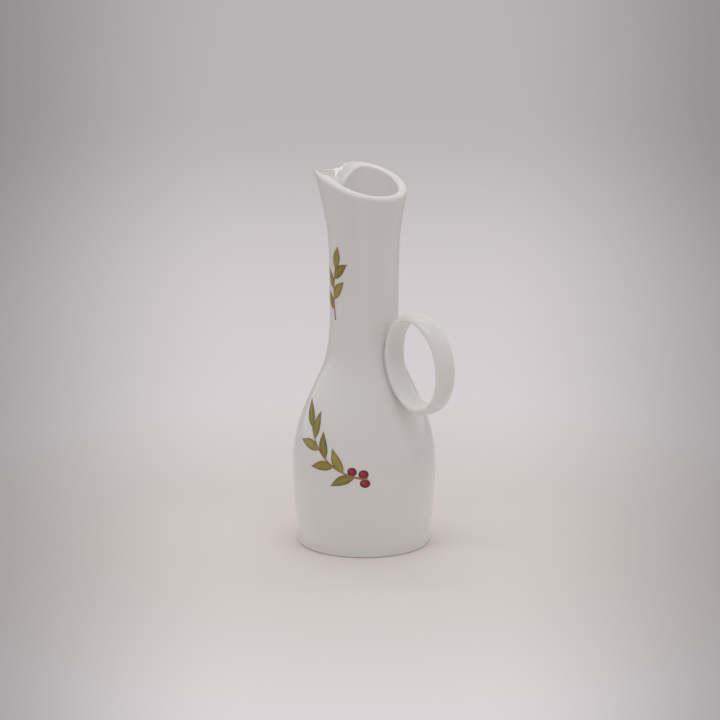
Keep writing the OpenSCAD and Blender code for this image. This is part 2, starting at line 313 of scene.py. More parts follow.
# %% [markdown]
# ## Glaze and biscuit
#
# Porcelain is a white body under a clear feldspar glaze that melts into a smooth glassy coat. To
# the eye that is a soft white under sharp reflections, with the faintest waves where the glaze ran.
# Light sinks a few millimetres into the clay, which softens its shadows. One flat white would look
# like plaster, so the colour drifts. It is a little bluer and greyer where the glaze gathers just
# above the foot, in the corner inside and in the slip fillet: partly the glaze's own tint, partly
# painted shade. Over the beak, where the glaze thins, it is warmer and duller: partly its own tint,
# partly painted shade on the rim and trough. Inside it is painted whiter, as painted light that lifts
# the shade in the hole. The foot ring is wiped clean before firing, so that it doesn't stick to the
# kiln shelf, and stays matt biscuit.

# %% Clear glaze
glaze_white = "#efece9"
glaze_cloud = "#e9e7e4"
# The gathered-glaze and thin-glaze colours below are partly painted shade, and the inside white is painted
# light.
glaze_pooled_and_shade = "#e5e6e5"
glaze_thinned_and_shade = "#cfcac7"
glaze_inner_painted_light = "#fbf8f6"
cloud_mm = 30
wave_mm = 9
wave_depth_mm = 0.012
peel_mm = 1.6
peel_depth_mm = 0.002
glaze_rough = (0.06, 0.11)
glaze_ior = 1.52
translucency = 0.4
scatter_mm = 3


def per_metre(size_mm):
    """Texture scale for a pattern whose marks are this many millimetres across."""
    return 1 / (size_mm * millimetre)


def glaze():
    """Clear feldspar glaze on porcelain: glassy, with slow waves and a fine orange peel."""
    material = blank_material("clear_feldspar_glaze")
    tree = material.node_tree
    place = add(tree, "TexCoord").outputs["Object"]
    cloud = add(tree, "TexNoise", {"Vector": place, "Scale": per_metre(cloud_mm), "Detail": 3.0}).outputs[0]
    pooled_and_shade = add(tree, "Attribute", attribute_name="pooled_and_shade").outputs["Fac"]
    thinned_and_shade = add(tree, "Attribute", attribute_name="thinned_and_shade").outputs["Fac"]
    inner_painted_light = add(tree, "Attribute", attribute_name="inner_painted_light").outputs["Fac"]
    tone = linear(glaze_white)
    # Of these colours, the gathered and thin glaze carry painted shade as well as the glaze's own tint, and
    # the whiter inside is painted light.
    for amount, code in ((cloud, glaze_cloud), (inner_painted_light, glaze_inner_painted_light), (pooled_and_shade, glaze_pooled_and_shade),
                         (thinned_and_shade, glaze_thinned_and_shade)):
        tone = add(tree, "Mix", {0: amount, 6: tone, 7: linear(code)}, data_type="RGBA").outputs[2]
    wave = add(tree, "TexNoise", {"Vector": place, "Scale": per_metre(wave_mm), "Detail": 1.0}).outputs[0]
    peel = add(tree, "TexNoise", {"Vector": place, "Scale": per_metre(peel_mm), "Detail": 1.0}).outputs[0]
    slow = add(tree, "Bump", {"Height": wave, "Distance": wave_depth_mm * millimetre}).outputs[0]
    fine = add(tree, "Bump", {"Height": peel, "Distance": peel_depth_mm * millimetre,
                              "Normal": slow}).outputs[0]
    rough = add(tree, "MapRange", {"Value": cloud, "To Min": glaze_rough[0],
                                   "To Max": glaze_rough[1]}).outputs["Result"]
    shader = add(tree, "BsdfPrincipled", {"Base Color": tone, "Roughness": rough, "IOR": glaze_ior,
                                          "Normal": fine, "Subsurface Weight": translucency,
                                          "Subsurface Radius": (1.0, 1.0, 1.0),
                                          "Subsurface Scale": scatter_mm * millimetre})
    add(tree, "OutputMaterial", {"Surface": shader.outputs[0]})
    return material


glaze_coat = glaze()
print("material:", glaze_coat.name)

# %% Wiped biscuit
biscuit_white = "#dcd6cb"
biscuit_worn = "#b9b2a6"
biscuit_grain_mm = 0.5
biscuit_grain_depth_mm = 0.02
biscuit_rough = 0.75
wear_mm = 5
wear_range = (0.45, 0.75)


def biscuit():
    """Unglazed porcelain on the foot ring: matt, finely gritty, greyed where it has slid on tables."""
    material = blank_material("wiped_biscuit_porcelain")
    tree = material.node_tree
    place = add(tree, "TexCoord").outputs["Object"]
    wear = add(tree, "TexNoise", {"Vector": place, "Scale": per_metre(wear_mm), "Detail": 4.0}).outputs[0]
    worn = add(tree, "MapRange", {"Value": wear, "From Min": wear_range[0],
                                  "From Max": wear_range[1]}).outputs["Result"]
    tone = add(tree, "Mix", {0: worn, 6: linear(biscuit_white), 7: linear(biscuit_worn)},
               data_type="RGBA").outputs[2]
    grain = add(tree, "TexNoise", {"Vector": place, "Scale": per_metre(biscuit_grain_mm)}).outputs[0]
    bump = add(tree, "Bump", {"Height": grain, "Distance": biscuit_grain_depth_mm * millimetre}).outputs[0]
    shader = add(tree, "BsdfPrincipled", {"Base Color": tone, "Roughness": biscuit_rough, "Normal": bump})
    add(tree, "OutputMaterial", {"Surface": shader.outputs[0]})
    return material


foot_biscuit = biscuit()
print("material:", foot_biscuit.name)

# %% [markdown]
# ## Side of the bottle
#
# The outline of the bowl and neck is drawn through a few stations, each with a height, a radius and
# a slope. A cubic curve joins each pair, which keeps the slope but lets the curvature jump, and a
# glaze shows such jumps as broken reflections. So the outline is sampled finely and blurred by a
# few millimetres, as wet clay rounds off.

# %% Side curve
foot_r = 34.1
foot_lean = 5
belly_z = 44
belly_r = 37.2
shoulder_z = 84
shoulder_r = 25.5
shoulder_lean = 25.6
throat_z = 98
throat_r = 19.9
neck_z = 130
neck_r = 17.7
collar_z = 160
collar_r = 18.4
side_sample = 0.25
side_blur = 2.5
blur_tails = 4
side_spare = 20

throat_slope = ((throat_r - shoulder_r) / (throat_z - shoulder_z)
                + (neck_r - throat_r) / (neck_z - throat_z)) / 2
collar_slope = 2 * (collar_r - neck_r) / (collar_z - neck_z)
station_z = np.array([0, belly_z, shoulder_z, throat_z, neck_z, collar_z], float)
station_r = np.array([foot_r, belly_r, shoulder_r, throat_r, neck_r, collar_r])
station_slope = np.array([math.tan(math.radians(foot_lean)), 0, -math.tan(math.radians(shoulder_lean)),
                          throat_slope, 0, collar_slope])


def cubic(t, span, start, start_slope, end, end_slope):
    """Cubic from start to end over a span, with a given slope at each end; t runs from 0 to 1."""
    rise = start * (1 - 3 * t ** 2 + 2 * t ** 3) + end * (3 * t ** 2 - 2 * t ** 3)
    return rise + span * (start_slope * t * (1 - t) ** 2 + end_slope * t ** 2 * (t - 1))


def station_curve(z):
    """Radius through the stations: a cubic between two of them, and a straight line past the ends."""
    i = np.clip(np.searchsorted(station_z, z) - 1, 0, len(station_z) - 2)
    span = station_z[i + 1] - station_z[i]
    inside = np.clip(z, station_z[0], station_z[-1])
    r = cubic((inside - station_z[i]) / span, span, station_r[i], station_slope[i],
              station_r[i + 1], station_slope[i + 1])
    past = np.where(z < station_z[0], station_slope[0], station_slope[-1])
    return r + (z - inside) * past


side_z = np.arange(-side_spare, collar_z + side_spare, side_sample)
blur_end = blur_tails * side_blur
blur_reach = np.arange(-blur_end, blur_end + side_sample / 2, side_sample)
blur = np.exp(-0.5 * (blur_reach / side_blur) ** 2)
side_curve = np.convolve(np.pad(station_curve(side_z), len(blur) // 2, mode="reflect", reflect_type="odd"),
                         blur / blur.sum(), mode="valid")
side_slopes = np.gradient(side_curve, side_sample)


def side_r(z):
    """Outer radius of the bottle at a height, from the blurred samples."""
    return np.interp(z, side_z, side_curve)


def side_slope(z):
    """Change of the outer radius with height."""
    return np.interp(z, side_z, side_slopes)


print("blur moves the outline by at most", round(np.abs(side_curve - station_curve(side_z)).max(), 3), "mm")

# %% [markdown]
# ## Mouth
#
# Above the collar the bottle flares into a rim that is higher in front, and the front is drawn out
# into a beak, which in the photograph is turned a little from straight opposite the ring. A
# sculptor would pull the clay by hand. A formula can do the same: a sharp bump in the angle around
# the axis, highest at the beak, pushes the wall outwards near the rim and pulls the rim down a
# little at the tip. Inside, the rim rolls over into the hole, sharply at the sides and as a round
# trough in the beak, and below that a plain wall runs down to the straight bore.

# %% Rim, beak and hole
rim_z = 192.0
rim_r = 21.9
rim_tilt = 6.4
beak_turn = math.radians(9)
beak_reach = 9.8
beak_dip = 7.0
beak_spread = math.radians(24)
beak_tip = 0.12
beak_curl = 1.3
flare_end = 0.9
rim_edge = 2.6
rim_round = 2.3
lip_taper = 0.8
hole_r = 17.3
hole_beak_r = 14.6
hole_round = 1.3
trough_depth = 9.0
trough_flat = 2.7
trough_turn = math.radians(3)
trough_spread = math.radians(32)
round_spread = math.radians(36)
bore_r = next(m["dims"]["r_mm"] for m in frame["record"]["mounts"] if m["name"] == "neck_bore")

around = 224
tip_crowding = 0.62
lap = np.linspace(-math.pi, math.pi, around, endpoint=False)
from_beak = lap - tip_crowding * np.sin(lap)
angle = beak_turn + from_beak


def mound(off, spread):
    """A round share around the axis: one at its top, falling by the bell curve on both sides."""
    return np.exp(-(off / spread) ** 2)


def crest(share):
    """Radius and height of the rim's crest: the beak reaches outwards and dips, and the whole rim tilts."""
    return rim_r + beak_reach * share - lip_w, rim_z + rim_tilt * np.cos(angle) - beak_dip * share


beak = np.exp(beak_tip - np.sqrt((from_beak / beak_spread) ** 2 + beak_tip ** 2))
round_beak = mound(from_beak, round_spread)
trough_share = mound(from_beak - trough_turn, trough_spread)
lip_w = rim_edge * (1 - lip_taper * np.sqrt(beak))
lip_h = rim_round * (1 - lip_taper * np.sqrt(beak))
crest_r, crest_z = crest(beak)
hole_edge_r = hole_r + (hole_beak_r - hole_r) * round_beak
hole_edge_h = hole_round + (trough_depth - hole_round) * trough_share
hole_edge_z = crest(round_beak)[1] - hole_edge_h
print("crest from", round(crest_z.min(), 1), "to", round(crest_z.max(), 1), "mm")


# %% Surfaces of the mouth
def turned(r, z):
    """Points at radius r and height z around the axis, with the beak at -X."""
    return np.stack(np.broadcast_arrays(-r * np.cos(angle), -r * np.sin(angle), z), axis=-1)


def mouth_outside(u):
    """Outside at shares u of its height: a cubic flare from collar to rim, plus the beak's reach."""
    span = crest_z - lip_h - collar_z
    flare = cubic(u, 1, 0, collar_slope * span / (rim_r - collar_r), 1, flare_end)
    r = collar_r + (rim_r - collar_r) * flare + beak_reach * beak * u ** beak_curl
    return turned(r, collar_z + u * span)


def mouth_lip(c):
    """Rounded outside of the rim: a quarter of an ellipse from the outside, angle 0, to the crest, 90."""
    return turned(crest_r + lip_w * np.cos(c), crest_z - lip_h * (1 - np.sin(c)))


def mouth_trough(c):
    """Rounded edge of the hole: a superellipse, level at the crest at angle 90 and upright at its end at 0.
    The beak's share is sharp at the crest and soon softens, so that the trough is round."""
    sharp = (1 - np.cos(c)) ** 3
    r, z = crest(sharp * beak + (1 - sharp) * round_beak)
    power = 2 / (2 + (trough_flat - 2) * trough_share)
    return turned(r - (r - hole_edge_r) * np.cos(c), z - hole_edge_h * (1 - np.sin(c) ** power))


def mouth_throat(u):
    """Wall below the hole's edge: a cubic that starts upright there and meets the straight bore upright."""
    r = cubic(u, 1, hole_edge_r, 0, bore_r, 0)
    return turned(r, hole_edge_z + (collar_z - hole_edge_z) * u)


print("beak reaches", rim_r + beak_reach, "mm from the axis")

# %% [markdown]
# ## Bottle
#
# The bottle could be a spun profile with a mouth welded on, and the weld would show in the glaze.
# Instead, one grid runs the whole way: from the middle of the underside over the foot, up the
# outside, over the rim and down the inside to the floor. Each row of the grid is a ring around the
# axis, round below the collar and shaped by the beak above it, so there is no seam anywhere.

# %% Bottle
wall = 3.4
floor_z = 5.5
floor_round = 8
bore_z = 112
foot_round = 1.2
foot_ring_w = 4
foot_recess = 1.5
foot_inner_r = foot_r - foot_round - foot_ring_w
pole_r = 2.0
round_rings = 12
step_rings = 10
mouth_rings = 44
outside_rings = 130
inside_rings = 100
flat_rings = 5


def inside_r(z):
    """Inner radius: the outer one less the wall, easing into the straight bore above the shoulder."""
    t = np.clip((z - shoulder_z) / (bore_z - shoulder_z), 0, 1)
    ease = t * t * (3 - 2 * t)
    return (1 - ease) * (side_r(z) - wall * np.sqrt(1 + side_slope(z) ** 2)) + ease * bore_r


def column(values):
    """Values as a column, one for each ring."""
    return np.asarray(values, float)[:, None]


quarter = np.radians(np.linspace(0, 90, round_rings))[:, None]
step = column(np.linspace(0, 1, step_rings))
share = column(np.linspace(0, 1, mouth_rings))
foot_edge_r = side_r(foot_round) - foot_round
floor_corner_z = floor_z + floor_round
floor_corner_r = inside_r(floor_corner_z) - floor_round
outer_z = column(np.linspace(foot_round, collar_z, outside_rings)[1:])
inner_z = column(np.linspace(collar_z, floor_corner_z, inside_rings)[1:-1])

underside = turned(column(np.linspace(pole_r, foot_inner_r - foot_recess, flat_rings)[:-1]), foot_recess)
step_up = turned(foot_inner_r - foot_recess * (1 - step),
                 foot_recess * (0.5 + 0.5 * np.cos(math.pi * step)))
foot_flat = turned(column(np.linspace(foot_inner_r, foot_edge_r, flat_rings)[1:-1]), 0)
foot_edge = turned(foot_edge_r + foot_round * np.sin(quarter), foot_round * (1 - np.cos(quarter)))
outside = turned(side_r(outer_z), outer_z)
flare_out = mouth_outside(share[1:])
lip = mouth_lip(quarter[1:])
trough = mouth_trough(math.pi / 2 * share[-2::-1])
throat = mouth_throat(share[1:])
inside = turned(inside_r(inner_z), inner_z)
floor_corner = turned(floor_corner_r + floor_round * np.cos(quarter),
                      floor_corner_z - floor_round * np.sin(quarter))
floor_flat = turned(column(np.linspace(floor_corner_r, pole_r, flat_rings)[1:]), floor_z)

bands = {"underside": underside, "step_up": step_up, "foot_flat": foot_flat, "foot_edge": foot_edge,
         "outside": outside, "flare_out": flare_out, "lip": lip, "trough": trough, "throat": throat,
         "inside": inside, "floor_corner": floor_corner, "floor_flat": floor_flat}
ring_counts = {name: len(band) for name, band in bands.items()}
bottle_rings = np.concatenate(list(bands.values()))
print("rings in each band:", ring_counts)

# %% [markdown]
# The glaze runs a little as it melts: it gathers just above the wiped foot and in the corner
# inside, and draws thin over the beak. There the colours also hold painted shade, darker at the foot,
# in the corner and over the beak's rim and trough. The inside is painted whiter from the hole's edge
# down to the bore, as painted light. These places could be found again from heights in the material,
# but here they are known ring by ring, so three values at each point carry them. Faces on the foot
# ring take the biscuit.

# %% Glaze marks and biscuit foot
pool_and_shade_height = 2.0
corner_pool_and_shade = 0.8
ring_z = bottle_rings[:, :, 2].mean(axis=1)
band_of = np.repeat(list(ring_counts), list(ring_counts.values()))
# Just above the foot and in the corner inside, the gathered glaze is painted a little darker: partly the
# glaze's own tint, partly painted shade.
pooled_and_shade_rows = np.where(band_of == "outside", np.exp(-((ring_z - 2 * foot_round) / pool_and_shade_height) ** 2), 0)
pooled_and_shade_rows[band_of == "floor_corner"] = corner_pool_and_shade
# Over the beak's lip and trough the thin glaze is painted darker: partly its own warmer tint, partly painted
# shade.
thinned_and_shade_rows = np.where(band_of == "lip", 1.0, 0.0)
thinned_and_shade_rows[band_of == "trough"] = np.linspace(1, 0, len(trough))
# Inside the hole the glaze is painted whiter, reaching full white at the bore: painted light that lifts the
# shade there.
inner_painted_light_rows = np.cumsum(np.isin(band_of, ["trough", "throat"])) / (len(trough) + len(throat))


def per_point(rows, share=np.ones(around)):
    """A value for each ring, times a share around it, at each of its points, and zero at the two poles."""
    return np.concatenate([np.outer(rows, share).ravel(), [0, 0]])


bottle = make_piece("bottle", [skin(bottle_rings)], "body", [glaze_coat, foot_biscuit],
                    {"pooled_and_shade": per_point(pooled_and_shade_rows), "thinned_and_shade": per_point(thinned_and_shade_rows, round_beak),
                     "inner_painted_light": per_point(inner_painted_light_rows)})
face_rows = np.repeat(np.arange(len(bottle_rings) - 1), around)
on_foot = np.isin(band_of[face_rows], ["step_up", "foot_flat"]) & (ring_z[face_rows] < foot_recess / 2)
face_material = np.concatenate([on_foot, np.zeros(2 * around)]).astype(int)
bottle.data.polygons.foreach_set("material_index", face_material)
print("biscuit faces:", int(on_foot.sum()))

# %% [markdown]
# ## Finger ring
#
# The finger ring is a band of clay, bent into an oval and leaned against the shoulder. It could be
# an oval torus, but the photograph shows a flat inside, thin edges and a crowned outside. So half
# an ellipse with a flat base is carried around an oval, square to it all the way, and the edges of
# its base are rounded as a wet sponge does.

# %% Oval of the ring
ring_rise = 3.2
ring_long = 52.8
ring_short = 40.2
ring_wall = 3.9
ring_band = 13
ring_edge = 1.0
ring_lean = math.radians(14)
ring_bite = 0.8
flank_samples = 400
ring_mid_z = throat_z + ring_rise


def oval(t):
    """Point on the outer ellipse and its outward normal, in the ring's own plane."""
    point = np.stack([ring_short / 2 * np.cos(t), ring_long / 2 * np.sin(t)], axis=-1)
    normal = np.stack([ring_long * np.cos(t), ring_short * np.sin(t)], axis=-1)
    return point, normal / np.linalg.norm(normal, axis=-1, keepdims=True)


def leaned(p, angle=ring_lean):
    """Turns points of the ring's plane by its lean towards the neck."""
    x, z = p[..., 0], p[..., 1]
    c, s = math.cos(angle), math.sin(angle)
    return np.stack([x * c - z * s, x * s + z * c], axis=-1)


flank = leaned(oval(np.radians(np.linspace(90, 270, flank_samples)))[0])
ring_mid_x = -(flank[:, 0] - side_r(ring_mid_z + flank[:, 1])).min() - ring_bite
print("middle of the ring at x =", round(ring_mid_x, 2), "mm")

# %% Finger ring
ring_stations = 192


def band_section(crown_points, edge_points, face_points):
    """Section of the band, as depth below the crown and place across: half an ellipse outside, then a
    rounded edge, the flat inside and the other rounded edge."""
    crown = ring_wall - ring_edge
    half = ring_band / 2 - ring_edge
    over = np.linspace(0, math.pi, crown_points)
    edge = np.linspace(0, math.pi / 2, edge_points)[1:]
    across = np.linspace(half, -half, face_points)[1:-1]
    outside = np.stack([crown * np.sin(over) - crown, -ring_band / 2 * np.cos(over)], axis=-1)
    rounded = np.stack([-crown - ring_edge * np.sin(edge), half + ring_edge * np.cos(edge)], axis=-1)
    inside = np.stack([0 * across - ring_wall, across], axis=-1)
    return np.concatenate([outside, rounded, inside, rounded[-1::-1][:edge_points - 1] * (1, -1)])


section = band_section(crown_points=29, edge_points=8, face_points=9)
start, outward = oval(np.linspace(0, 2 * math.pi, ring_stations, endpoint=False))
in_plane = leaned(start[:, None, :] + section[None, :, :1] * outward[:, None, :])
ring_rings = np.stack([ring_mid_x + in_plane[..., 0],
                       np.broadcast_to(section[:, 1], in_plane.shape[:2]),
                       ring_mid_z + in_plane[..., 1]], axis=-1)
make_piece("finger_ring", [skin(ring_rings[:, ::-1], tyre=True)], "ring_handle",
           [glaze_coat])

# %% [markdown]
# ## Slip joint
#
# Slip, which is clay thinned with water, glues the ring to the bottle and leaves a small hollow
# fillet all around the joint. A bevel could round that corner, but the two skins only cross and
# share no edge. So a small ball is rolled around the joint instead: where its middle lies one
# radius from both skins, the part of the ball that faces the corner is the fillet. Its back is sunk
# into the clay on both sides.

# %% Distances around the joint
newton_steps = 8
joint_low, joint_high = (np.array(corner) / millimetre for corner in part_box("handle_seam"))
joint_mid_z = (joint_low[2] + joint_high[2]) / 2
joint_half_h = (joint_high[2] - joint_low[2]) / 2


def bottle_skin(y, z):
    """Point of the bottle's outside on the ring's side at a place across and a height, and its normal."""
    r = side_r(z)
    x = np.sqrt(r ** 2 - y ** 2)
    normal = np.stack([x / r, y / r, -side_slope(z)], axis=-1)
    return np.stack([x, y, z], axis=-1), normal / np.linalg.norm(normal, axis=-1, keepdims=True)


fine_section = band_section(crown_points=900, edge_points=120, face_points=200)
fine_step = np.roll(fine_section, -1, axis=0) - np.roll(fine_section, 1, axis=0)
fine_out = np.stack([fine_step[:, 1], -fine_step[:, 0]], axis=-1)
fine_out = fine_out / np.linalg.norm(fine_out, axis=-1, keepdims=True)


def band_gap(p):
    """Distance from the band, less than zero inside it, and direction away from it. The nearest place on
    the oval is found by Newton's rule, and then the nearest of many points on the band's section there."""
    q = leaned(np.stack([p[..., 0] - ring_mid_x, p[..., 2] - ring_mid_z], axis=-1), -ring_lean)
    t = np.arctan2(q[..., 1] / ring_long, q[..., 0] / ring_short)
    for _ in range(newton_steps):
        point = oval(t)[0]
        along = np.stack([-ring_short / 2 * np.sin(t), ring_long / 2 * np.cos(t)], axis=-1)
        off = point - q
        slope = (along ** 2).sum(axis=-1) - (off * point).sum(axis=-1)
        t = t - (off * along).sum(axis=-1) / slope
    point, normal = oval(t)
    here = np.stack([((q - point) * normal).sum(axis=-1), p[..., 1]], axis=-1)
    off = here[:, None] - fine_section
    nearest = (off ** 2).sum(axis=-1).argmin(axis=-1)
    away = fine_out[nearest]
    gap = (off[np.arange(len(here)), nearest] * away).sum(axis=-1)
    flat = leaned(away[:, :1] * normal)
    return gap, np.stack([flat[:, 0], away[:, 1], flat[:, 1]], axis=-1)


print("joint is", round(2 * joint_half_h, 1), "mm high, about z =", round(joint_mid_z, 1), "mm")

# %% Slip joint
fillet_r = 0.8
fillet_root = 0.6
fillet_deep = 1.2
joint_stations = 240
arc_points = 9
search_steps = 40
search_reach = (0.1, 2.0)


def ball_middle(theta, reach):
    """Middle of a ball that touches the bottle, in the direction theta from the joint's middle."""
    point, normal = bottle_skin(reach * ring_band / 2 * np.cos(theta),
                                joint_mid_z + reach * joint_half_h * np.sin(theta))
    return point + fillet_r * normal, normal


theta = np.linspace(0, 2 * math.pi, joint_stations, endpoint=False)
near, far = (np.full(joint_stations, reach) for reach in search_reach)
for _ in range(search_steps):
    middle = (near + far) / 2
    clear = band_gap(ball_middle(theta, middle)[0])[0] > fillet_r
    near, far = np.where(clear, near, middle), np.where(clear, middle, far)
ball, from_bottle = ball_middle(theta, far)
from_band = band_gap(ball)[1]

opening = np.arccos(np.clip((from_bottle * from_band).sum(axis=-1), -1, 1))[:, None, None]
blend = np.linspace(0, 1, arc_points)[None, :, None]
arc = -(np.sin((1 - blend) * opening) * from_bottle[:, None] + np.sin(blend * opening) * from_band[:, None])
arc = ball[:, None] + fillet_r * arc / np.sin(opening)
inwards = -(from_bottle + from_band)
inwards = fillet_deep * fillet_r * inwards / np.linalg.norm(inwards, axis=-1, keepdims=True)
roots = [arc[:, -1:] + (inwards - fillet_root * from_band)[:, None],
         arc[:, :1] + (inwards - fillet_root * from_bottle)[:, None]]
joint_rings = np.concatenate([arc, *roots], axis=1)
# The fillet takes the gathered-glaze colour, strongest in its hollow: partly the glaze's tint, partly
# painted shade in the crease.
joint_pooled_and_shade = np.tile(np.concatenate([np.sin(math.pi * blend.ravel()), [0, 0]]), joint_stations)
make_piece("slip_joint", [skin(joint_rings, tyre=True)], "handle_seam", [glaze_coat],
           {"pooled_and_shade": joint_pooled_and_shade})
print("joint from z =", round(ball[:, 2].min(), 1), "to", round(ball[:, 2].max(), 1), "mm")

# %% [markdown]
# ## Printed sprigs
#
# The sprigs are transfer prints: enamel colours on a film that is slid on to the glaze and fired
# again. They could be painted by the bottle's own material, but then they would have no edge of
# their own. Here each leaf, stem and berry is a very thin raised patch, drawn flat and laid on the
# curved side, as the film is.

# %% Flat sprigs
stem_w = 1.1
leaf_angle = math.radians(38)
leaf_fullness = 0.8
leaf_bend = 0.05
enamel_h = 0.06
enamel_root = 0.10


class Sprig:
    """A flat sprig, laid facing a direction at a height: its stem is an arc that bends to the right."""

    def __init__(self, facing, height, length, bend, lean):
        self.facing, self.height = math.radians(facing), height
        self.length, self.bend, self.lean = length, math.radians(bend), math.radians(lean)

    def stem(self, s):
        """Point at share s of the stem, from the stem's middle, with the sprig's lean."""
        radius = self.length / self.bend
        arc = np.stack([1 - np.cos(self.bend * s), np.sin(self.bend * s)], axis=-1)
        mid = np.array([1 - math.cos(self.bend / 2), math.sin(self.bend / 2)])
        return leaned(radius * (arc - mid), self.lean)

    def heading(self, s):
        """Direction of growth at share s."""
        return math.pi / 2 - self.bend * s + self.lean

    def lay(self, flat, lift):
        """Carries flat points straight back on to the bottle, and lifts them off its skin."""
        x, z = flat[..., 0], self.height + flat[..., 1]
        r = side_r(z)
        depth = np.sqrt(r ** 2 - x ** 2)
        c, s = math.cos(self.facing), math.sin(self.facing)
        slope = side_slope(z)
        out = np.stack([(depth * c - x * s) / r, (depth * s + x * c) / r, -slope], axis=-1)
        out = out / np.linalg.norm(out, axis=-1, keepdims=True)
        return np.stack([depth * c - x * s, depth * s + x * c, z], axis=-1) + lift[..., None] * out


bowl_leaf_sizes = {"count": 7, "length": 14, "width": 5}
neck_leaf_sizes = {"count": 5, "length": 12.5, "width": 5.2}
bowl_print_rise = 6
neck_print_gap = 0.6
neck_stem_length = 27
neck_print_z = collar_z - neck_print_gap - neck_stem_length / 2 - neck_leaf_sizes["length"]
bowl_sprig = Sprig(facing=-75, height=belly_z + bowl_print_rise, length=42, bend=60, lean=85)
neck_sprig = Sprig(facing=-106, height=neck_print_z, length=neck_stem_length, bend=24, lean=12)
print("bowl sprig at z =", bowl_sprig.height, "mm, neck sprig at z =", neck_sprig.height, "mm")

# %% [markdown]
# A leaf or a stem is a strip: a line down its middle, and a half width along it. Across the strip,
# the enamel rises from its edge to a flat top, and its root is sunk into the glaze. Its points also
# carry how far along the strip and how far across they are, so that the material can draw veins and
# edges that follow it.

# %% Strips of enamel
across_points = 13
top_power = 6
leaf_points = 29
leaf_trim = 0.004
stem_points = 60
stem_taper = 0.45
first_shade = 0.37
shade_step = 0.618


def strip(sprig, line, side, half):
    """Closed strip of enamel: line[i] + across * half[i] * side[i] on top, and the same sunk into the glaze.
    Gives the skin, and how far along and across each point is."""
    across = np.linspace(-1, 1, across_points)
    loop = np.concatenate([across, across[::-1]])
    lift = np.concatenate([enamel_h * (1 - across ** top_power), np.full(across_points, -enamel_root)])
    flat = line[:, None] + (half[:, None] * loop[None])[..., None] * side[:, None]
    rings = sprig.lay(flat, np.broadcast_to(lift, flat.shape[:2]))
    along = np.repeat(np.linspace(0, 1, len(line)), len(loop))
    return skin(rings), np.append(along, [0, 1]), np.append(np.tile(loop, len(line)), [0, 0])


def leaf(sprig, s, turn, length, width):
    """Leaf at share s of the stem, turned from its heading: its half width is half a sine, fuller near the
    stem, and its middle bends a little."""
    t = np.linspace(leaf_trim, 1 - leaf_trim, leaf_points)
    growth = sprig.heading(s) + turn
    ahead = np.array([math.cos(growth), math.sin(growth)])
    left = np.array([-ahead[1], ahead[0]])
    bend = -np.sign(turn) * leaf_bend * length * np.sin(math.pi * t)
    line = sprig.stem(np.array(s)) + length * t[:, None] * ahead + bend[:, None] * left
    side = np.broadcast_to(left, line.shape)
    return strip(sprig, line, side, width / 2 * np.sin(math.pi * t ** leaf_fullness))


def leaves(sprig, count, length, width):
    """Leaves by turns on both sides of the stem, and one at its end."""
    turns = [leaf_angle * (1 if i % 2 == 0 else -1) for i in range(count - 1)] + [0.0]
    return [leaf(sprig, (i + 1) / count, turn, length, width) for i, turn in enumerate(turns)]


def stem(sprig):
    """The stem: an even strip that thins towards its end."""
    t = np.linspace(0, 1, stem_points)
    growth = sprig.heading(t)
    side = np.stack([-np.sin(growth), np.cos(growth)], axis=-1)
    return strip(sprig, sprig.stem(t), side, stem_w / 2 * (1 - stem_taper * t))


def make_print(name, strips, enamel):
    """One print from several strips: the strips' marks, and a value that differs from strip to strip."""
    skins, along, across = zip(*strips)
    shade = [np.full(len(part), (first_shade + shade_step * i) % 1) for i, part in enumerate(along)]
    make_piece(name + "_enamel", skins, name, [enamel],
               {"along": np.concatenate(along), "across": np.concatenate(across),
                "shade": np.concatenate(shade)})


print("a leaf has", 2 * across_points * leaf_points, "points on its rings")

# %% [markdown]
# ## Enamels
#
# Print enamels are ground glass coloured with metal oxides. They melt into the glaze and shine
# almost as it does, with the fine mottle of the printing screen. A leaf is darker towards its edge,
# brown at its tip, and paler along its midrib and side veins, which are drawn from the marks that
# each point carries.

# %% Leaf enamels
enamel_rough = 0.16
enamel_ior = 1.5
screen_mm = 0.55
screen_depth_mm = 0.01
blotch_mm = 4
blotch_range = (0.05, 0.55)
edge_start = 0.55
edge_depth = 0.85
tip_start = 0.72
tip_depth = 0.8
vein_count = 7
vein_sweep = 0.22
vein_width = 0.22
vein_depth = 0.45
midrib_width = (0.04, 0.16)
midrib_depth = 0.75


